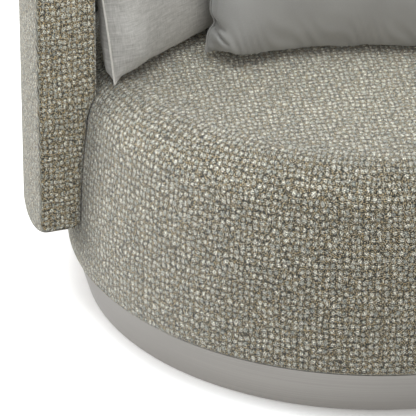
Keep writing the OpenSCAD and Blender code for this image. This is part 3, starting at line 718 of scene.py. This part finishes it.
def make_back_cushion():
    """Crescent cushion with softly squared edges, smaller towards its two ends."""
    stations, around = 96, 64
    end_trim, end_draw, end_power, end_close, end_left = 0.998, 0.85, 8, 5, 0.12
    squareness = 0.5
    points, rows = [], []
    for i in range(stations):
        share = math.pi * i / (stations - 1)
        angle = -CUSHION_SPAN * math.cos(share) * end_trim
        taper = math.sqrt(max(0.0, 1 - end_draw * abs(angle / CUSHION_SPAN) ** end_power))
        taper *= min(1.0, math.sin(share) * end_close + end_left)
        r0, r1 = cushion_front(angle), CUSHION_BACK_R
        mid, half = (r0 + r1) / 2, (r1 - r0) / 2 * taper
        z0 = seat_height(mid - half * 0.5) + CUSHION_LIFT
        z1 = z0 + CUSHION_H * (0.8 + 0.2 * taper) - CUSHION_SHRINK
        path = []
        for j in range(around):
            q = math.radians(-90 + 360 * j / around)
            out = -math.copysign(abs(math.cos(q)) ** squareness, math.cos(q))
            up = math.copysign(abs(math.sin(q)) ** squareness, math.sin(q))
            path.append((mid + half * out, z0 + (z1 - z0) * (up + 1) / 2))
        rows.append((angle, arc_lengths(path + path[:1])))
        points += [(-r * math.sin(angle), r * math.cos(angle), z) for r, z in path]
    quads, corners = grid_faces(stations, around, True)
    cloth = [(rows[i][0] * CUSHION_MIDDLE_R + CUSHION_CLOTH, rows[i][1][j])
             for places in corners for i, j in places]
    for end, way in ((0, 1), ((stations - 1) * around, -1)):
        centre = len(points)
        ring = [Vector(points[end + j]) for j in range(around)]
        points.append(tuple(sum(ring, Vector()) / around))
        for j in range(around):
            triangle = [end + (j + 1) % around, end + j, centre]
            quads.append(triangle[::way])
            cloth += [(CUSHION_CLOTH + 0.02 * k, 0.01 * j) for k in range(3)]
    return piece("back_cushion", points, quads, cloth)


# Pillows

def outline_point(s, t, width, height, rise):
    """Point of a pillow's seam plane at s across and t up, both -1 to 1."""
    fall = SIDE_DRAW if t > 0 else rise
    x = s * (width / 2 - SIDE_DRAW * (1 - t * t) * s * s)
    z = height / 2 + t * (height / 2 - fall * (1 - s * s) * t * t)
    return x, z


def sewn_bag(name, size, rise, swell):
    """Two panels sewn together along their edges and swollen front and back, finest at the seam."""
    width, height = size
    front, back = swell
    nx, nz = round(width / CLOTH_CELL), round(height / CLOTH_CELL)
    index, points, quads, cloth = {}, [], [], []

    def spread(k, count):
        return math.sin(math.pi / 2 * (2 * k / count - 1))

    def corner(side, i, j):
        key = (0 if i in (0, nx) or j in (0, nz) else side, i, j)
        if key not in index:
            s, t = spread(i, nx), spread(j, nz)
            x, z = outline_point(s, t, width, height, rise)
            depth = back if side > 0 else front
            fullness = math.sqrt((1 - abs(s) ** SIDE_SQUARENESS) * (1 - t ** TOP_SQUARENESS))
            index[key] = len(points)
            points.append((x, side * depth * fullness, z))
        return index[key]

    for side in (-1, 1):
        for i in range(nx):
            for j in range(nz):
                places = [(i, j), (i + 1, j), (i + 1, j + 1), (i, j + 1)]
                if side > 0:
                    places.reverse()
                quads.append([corner(side, *p) for p in places])
                cloth += [(side * width + spread(a, nx) * width / 2, spread(b, nz) * height / 2)
                          for a, b in places]
    seam = ([corner(0, i, 0) for i in range(nx)] + [corner(0, nx, j) for j in range(nz)]
            + [corner(0, i, nz) for i in range(nx, 0, -1)]
            + [corner(0, 0, j) for j in range(nz, 0, -1)])
    return piece(name, points, quads, cloth), seam


def stuffed(bag, seam):
    """Presses a bag out by simulation, its cloth cut a little large, and returns its points."""
    held = bag.vertex_groups.new(name="seam")
    held.add(seam, SEAM_HOLD, "REPLACE")
    cloth = bag.modifiers.new("Cloth", "CLOTH")
    settings = cloth.settings
    settings.quality = 5
    settings.mass = 0.25
    settings.air_damping = 4
    settings.tension_stiffness = 30
    settings.compression_stiffness = 30
    settings.shear_stiffness = 12
    settings.bending_stiffness = 0.08
    settings.shrink_min = -CLOTH_EXTRA
    settings.use_pressure = True
    settings.uniform_pressure_force = FILL_PRESSURE
    settings.vertex_group_mass = "seam"
    settings.pin_stiffness = 1.0
    settings.effector_weights.gravity = 0
    cloth.collision_settings.use_collision = False
    scene = bpy.context.scene
    scene.frame_start, scene.frame_end = 1, FILL_FRAMES
    for step in range(1, FILL_FRAMES + 1):
        scene.frame_set(step)
    solved = bag.evaluated_get(bpy.context.evaluated_depsgraph_get())
    places = np.empty(len(bag.data.vertices) * 3)
    solved.data.vertices.foreach_get("co", places)
    bag.modifiers.remove(cloth)
    bag.vertex_groups.remove(held)
    scene.frame_set(1)
    return places.reshape(-1, 3)


def share_within(values, reach):
    """1 at zero, falling evenly to 0 at the reach and beyond it."""
    return np.clip(1 - values / reach, 0, 1)


def share_past(values, reach):
    """0 at zero and below, growing evenly to 1 at the reach."""
    return np.clip(values / reach, 0, 1)


def slump(places, width):
    """Lets a pillow's front belly sag over its bottom seam, which rides up."""
    x, y, z = places.T
    middle = 1 - np.clip(np.abs(2 * x / width), 0, 1) ** 6
    low = share_within(z, BELLY_REACH) ** 1.5
    ahead = share_past(-y, BELLY_DEPTH)
    z += (SEAM_LIFT - (SEAM_LIFT + BELLY_DROP) * ahead) * middle * low


def drape(places, place):
    """Lets a pillow's bottom down on to the falling crown of the seat."""
    for p in places:
        foot = place @ Vector((p[0], 0, 0))
        gap = foot.z - seat_height(math.hypot(foot.x, foot.y)) - SEAM_CLEAR
        p[2] -= max(0.0, gap) * share_within(p[2], DRAPE_REACH) ** 1.5


def plump(places, reach, width, bulge):
    """Fills out the front of a pillow's lower corners, bulging most at reach from its middle."""
    x, y, z = places.T
    corner = np.exp(-((np.abs(x) - reach) / width) ** 2)
    y -= bulge * corner * share_within(z, PLUMP_REACH) * share_past(-y, PLUMP_DEPTH)


def fold_square(places):
    """Fills out a square pillow's lower corners, in front and behind."""
    plump(places, reach=0.202, width=0.042, bulge=0.028)
    x, y, z = places.T
    corner = np.exp(-((np.abs(x) - 0.200) / 0.035) ** 2)
    y += 0.024 * share_past(y, 0.006) * corner * share_within(z, 0.16)


def fold_ends(places):
    """Bends a lumbar pillow round the sitter and pinches and creases its ends above the corners."""
    plump(places, reach=0.230, width=0.070, bulge=0.040)
    x, y, z = places.T
    ahead = share_past(-y, FOLD_DEPTH)
    y += LUMBAR_BACK - LUMBAR_BEND * (2 * x / LUMBAR_W) ** 2
    for end in (-1, 1):
        inside = LUMBAR_W / 2 - SIDE_DRAW / 2 - end * x
        x -= end * PINCH * np.exp(-((z - PINCH_Z) / PINCH_H) ** 2 - (inside / PINCH_W) ** 2)
        for start, stop, depth in CREASES:
            run = np.subtract(stop, start)
            off = np.stack([end * x - start[0], z - start[1]], axis=1)
            share = np.clip(off @ run / (run @ run), 0, 1)
            gap = np.linalg.norm(off - share[:, None] * run, axis=1)
            y += depth * (1 - 0.7 * share) * np.exp(-(gap / CREASE_R) ** 2) * ahead
    uneven = 0.8 * np.sin(x * 31) + 0.5 * np.sin(x * 67 + 1)
    fan = 2 * math.pi * (x / PUCKER_W + uneven + z * 26)
    y += PUCKER * np.sin(fan) * np.exp(-(z / PUCKER_REACH) ** 2) * ahead


def settle(point):
    """Keeps a pillow's cloth above the seat and inside the band."""
    radius = math.hypot(point.x, point.y)
    if radius < SEAT_R - RIM_MARGIN:
        point.z = max(point.z, seat_height(radius) + SEAT_CLEAR)
    wall = BORE_R - WALL_CLEAR
    if radius > wall and point.z < band_top(point.y) - TOP_MARGIN:
        point.x *= wall / radius
        point.y *= wall / radius
    return point


def reshape(obj, places):
    """Moves a piece's points to the given places."""
    obj.data.vertices.foreach_set("co", np.array([tuple(p) for p in places]).ravel())
    obj.data.update()


def refined(obj, places):
    """Gives a piece the mesh that one smoothing subdivision makes, and returns its points."""
    reshape(obj, places)
    finer = obj.modifiers.new("Subdivision", "SUBSURF")
    finer.levels = finer.render_levels = 1
    solved = obj.evaluated_get(bpy.context.evaluated_depsgraph_get())
    mesh = bpy.data.meshes.new_from_object(solved)
    obj.modifiers.remove(finer)
    obj.data = mesh
    return np.array([v.co for v in mesh.vertices])


def make_pillow(name, size, rise, swell, place, folds):
    """A stuffed pillow set in its place, and the path of its seam."""
    width, height = size
    bag, seam = sewn_bag(name, size, rise, swell)
    cut = np.array([v.co for v in bag.data.vertices])
    places = cut.copy()
    places = stuffed(bag, seam)
    # The stuffed shape is brought to its depth, blended with the cut and held at the seam
    y = places[:, 1]
    y[y < 0] *= swell[0] / -y.min()
    y[y > 0] *= swell[1] / y.max()
    places = FILL_SHARE * places + (1 - FILL_SHARE) * cut
    places[seam] = cut[seam]
    slump(places, width)
    drape(places, place)
    places = refined(bag, places)
    folds(places)
    reshape(bag, [settle(place @ Vector(p)) for p in places])
    middle = Vector((0, 0, height / 2))
    path = []
    for p in places[seam]:
        out = Vector(p) - middle
        out.y = 0
        path.append(place @ (Vector(p) + out.normalized() * PIPING_OUT))
    return bag, path


def piping_tree(finish):
    """Node tree that sweeps a round cord along a path."""
    tree = bpy.data.node_groups.new("piping", "GeometryNodeTree")
    face = tree.interface
    face.new_socket("Path", in_out="INPUT", socket_type="NodeSocketGeometry")
    radius = face.new_socket("Radius", in_out="INPUT", socket_type="NodeSocketFloat")
    sides = face.new_socket("Sides", in_out="INPUT", socket_type="NodeSocketInt")
    face.new_socket("Cord", in_out="OUTPUT", socket_type="NodeSocketGeometry")
    nodes, links = tree.nodes, tree.links
    given, result = nodes.new("NodeGroupInput"), nodes.new("NodeGroupOutput")
    circle = nodes.new("GeometryNodeCurvePrimitiveCircle")
    sweep = nodes.new("GeometryNodeCurveToMesh")
    realize = nodes.new("GeometryNodeRealizeInstances")
    paint = nodes.new("GeometryNodeSetMaterial")
    paint.inputs["Material"].default_value = finish
    links.new(given.outputs["Sides"], circle.inputs["Resolution"])
    links.new(given.outputs["Radius"], circle.inputs["Radius"])
    links.new(given.outputs["Path"], sweep.inputs["Curve"])
    links.new(circle.outputs["Curve"], sweep.inputs["Profile Curve"])
    links.new(sweep.outputs["Mesh"], realize.inputs["Geometry"])
    links.new(realize.outputs["Geometry"], paint.inputs["Geometry"])
    links.new(paint.outputs["Geometry"], result.inputs["Cord"])
    return tree, {"Radius": radius.identifier, "Sides": sides.identifier}


def make_piping(name, path, finish):
    """Cord sewn round a pillow's seam."""
    curve = bpy.data.curves.new(name + "_path", "CURVE")
    curve.dimensions = "3D"
    spline = curve.splines.new("POLY")
    spline.points.add(len(path) - 1)
    for point, place in zip(spline.points, path):
        point.co = (*place, 1)
    spline.use_cyclic_u = True
    holder = bpy.data.objects.new(name + "_path", curve)
    bpy.context.scene.collection.objects.link(holder)
    tree, keys = piping_tree(finish)
    sweep = holder.modifiers.new("piping", "NODES")
    sweep.node_group = tree
    sweep[keys["Radius"]] = PIPING_R
    sweep[keys["Sides"]] = 8
    solved = holder.evaluated_get(bpy.context.evaluated_depsgraph_get())
    mesh = bpy.data.meshes.new_from_object(solved)
    bpy.data.objects.remove(holder)
    mesh.name = name
    obj = bpy.data.objects.new(name, mesh)
    bpy.context.scene.collection.objects.link(obj)
    mesh.polygons.foreach_set("use_smooth", [True] * len(mesh.polygons))
    if not mesh.uv_layers:
        layer = mesh.uv_layers.new(name="cloth")
        for loop in mesh.loops:
            x, y, z = mesh.vertices[loop.vertex_index].co
            layer.data[loop.index].uv = (x + y, z)
    return obj


def square_place(side):
    """Where a square pillow stands: side is -1 on the left and 1 on the right."""
    heights = []
    for s in np.linspace(0, SQUARE_W, 21):
        x = SQUARE_X + s * math.cos(SQUARE_TURN)
        y = SQUARE_Y + s * math.sin(SQUARE_TURN)
        heights.append(seat_height(math.hypot(x, y)) - s * math.tan(SQUARE_TILT))
    place = (Matrix.Translation((SQUARE_X, SQUARE_Y, SEAM_CLEAR + max(heights)))
             @ Matrix.Rotation(SQUARE_TURN, 4, "Z") @ Matrix.Rotation(-SQUARE_LEAN, 4, "X")
             @ Matrix.Rotation(-SQUARE_TILT, 4, "Y") @ Matrix.Translation((SQUARE_W / 2, 0, 0)))
    if side > 0:
        place = Matrix.Scale(-1, 4, (1, 0, 0)) @ place
    return place


def lumbar_rise():
    """How much higher the lumbar pillow's bottom seam stands in its middle than at its ends."""
    return seat_height(LUMBAR_FLAT) - seat_height(LUMBAR_W / 2) + 0.001


def lumbar_place():
    """Where the lumbar pillow stands, in front of the two square ones."""
    y = SQUARE_Y + (-LUMBAR_W / 2 - SQUARE_X) * math.tan(SQUARE_TURN) - LUMBAR_AHEAD
    z = SEAM_CLEAR + seat_height(abs(y)) - lumbar_rise() * math.cos(LUMBAR_LEAN)
    return Matrix.Translation((0, y, z)) @ Matrix.Rotation(-LUMBAR_LEAN, 4, "X")


dress(make_seat(), WEAVE, "seat", "weave", "seat_cover", fill=1.0)
dress(make_band(), WEAVE, "seat", "weave", "band_cover", fill=1.0)
dress(make_arm_faces(), WEAVE_ACROSS_PAINTED_LIGHTER, "seat", "weave", "arm_front_covers")
dress(make_back_cushion(), WEAVE, "seat", "weave", "back_cushion_cover", "back_cushion_core",
      fill=0.9)

for side, word in ((-1, "left"), (1, "right")):
    pillow, path = make_pillow(word + "_pillow", (SQUARE_W, SQUARE_W), 0.0, SQUARE_SWELL,
                               square_place(side), fold_square)
    if side > 0:
        pillow.data.flip_normals()
    dress(pillow, LINEN, word + "_pillow", "linen", word + "_pillow_cover",
          word + "_pillow_insert", fill=0.7)
    cord = make_piping(word + "_pillow_cord", path, LINEN_EDGE)
    dress(cord, LINEN_EDGE, word + "_pillow", "linen_piping", word + "_pillow_piping")

pillow, path = make_pillow("lumbar_pillow", (LUMBAR_W, LUMBAR_H), lumbar_rise(), LUMBAR_SWELL,
                           lumbar_place(), fold_ends)
dress(pillow, SATEEN, "lumbar_pillow", "sateen", "lumbar_pillow_cover", "lumbar_pillow_insert",
      fill=0.75)
cord = make_piping("lumbar_pillow_cord", path, SATEEN)
dress(cord, SATEEN, "lumbar_pillow", "sateen", "lumbar_pillow_piping")


# Floor, light and camera

def grey(level):
    """A grey of plain light, 0 to 1."""
    return (level, level, level, 1)


def make_floor():
    """A pale floor: the camera sees it white, with the chair's soft shadow on it, cast by the lamps,
    its edge painted where the floor's glow fades.
    """
    far = 40
    corners = [(-far, -far, 0), (far, -far, 0), (far, far, 0), (-far, far, 0)]
    floor = piece("floor", corners, [(0, 1, 2, 3)])
    paint = Finish("white_floor", Roughness=0.9, Specular_IOR_Level=0.0)
    paths = paint.node("ShaderNodeLightPath").socket.node
    camera = Wire(paint, paths.outputs["Is Camera Ray"])
    glossy = Wire(paint, paths.outputs["Is Glossy Ray"])
    away = paint.node("ShaderNodeVectorMath", {"operation": "DISTANCE"},
                      {0: paint.place(), 1: SHADE_CENTRE}, "Value")
    # Painted shadow: the camera's glow fades out near the chair, which lets the shadow show only
    # there
    white = paint.mix(away.above(*SHADE_EDGE), grey(0.0), grey(FLOOR_GLOW))
    dull = paint.mix(glossy, grey(0.0), grey(FLOOR_IN_STEEL))
    paint.set(Base_Color=paint.mix(camera, grey(FLOOR_TONE), grey(FLOOR_SEEN)),
              Emission_Strength=1.0, Emission_Color=paint.mix(camera, dull, white))
    floor.data.materials.append(paint.material)


def make_world():
    """Even studio light, seen as white by the camera."""
    world = bpy.data.worlds.new("studio")
    bpy.context.scene.world = world
    world.use_nodes = True
    tree = world.node_tree
    tree.nodes.clear()
    output = tree.nodes.new("ShaderNodeOutputWorld")
    paths = tree.nodes.new("ShaderNodeLightPath")
    choose = tree.nodes.new("ShaderNodeMixShader")
    tree.links.new(paths.outputs["Is Camera Ray"], choose.inputs[0])
    for socket, strength in ((1, STUDIO_LIGHT), (2, 1.0)):
        glow = tree.nodes.new("ShaderNodeBackground")
        glow.inputs["Color"].default_value = grey(1.0)
        glow.inputs["Strength"].default_value = strength
        tree.links.new(glow.outputs[0], choose.inputs[socket])
    tree.links.new(choose.outputs[0], output.inputs["Surface"])


def soft_light(name, place, size, level, tint=(1, 1, 1)):
    """A square lamp aimed at the seat; level 1 lights a facing surface to its own colour."""
    lamp = bpy.data.lights.new(name, "AREA")
    lamp.color = tint
    lamp.shape = "SQUARE"
    lamp.size = size
    target = Vector((0, 0, MIDDLE_Z))
    place = Vector(place)
    lamp.energy = level * math.pi ** 2 * (place - target).length_squared
    obj = bpy.data.objects.new(name, lamp)
    obj.location = place
    obj.rotation_euler = (target - place).to_track_quat("-Z", "Y").to_euler()
    bpy.context.scene.collection.objects.link(obj)


def make_camera():
    """A long lens high in front of the chair, placed as for the photograph."""
    lens = bpy.data.cameras.new("photo_camera")
    lens.sensor_fit = "HORIZONTAL"
    lens.sensor_width = CAMERA_SENSOR
    lens.lens = CAMERA_LENS
    lens.clip_end = 200
    camera = bpy.data.objects.new("photo_camera", lens)
    camera.location = CAMERA_PLACE
    camera.rotation_euler = (math.radians(90 - CAMERA_DROP), 0, 0)
    bpy.context.scene.collection.objects.link(camera)
    bpy.context.scene.camera = camera


make_floor()
make_world()
soft_light("key_light", (-5.6, 1.2, 2.4), 3.0, 0.73)
soft_light("top_light", (-0.4, -0.45, 5.5), 3.5, 0.65, (0.93, 0.98, 1.0))
soft_light("front_fill", (2.0, -6.4, 2.6), 3.5, 0.18, (1.0, 0.97, 0.90))
make_camera()

bpy.context.scene.view_settings.view_transform = "Standard"
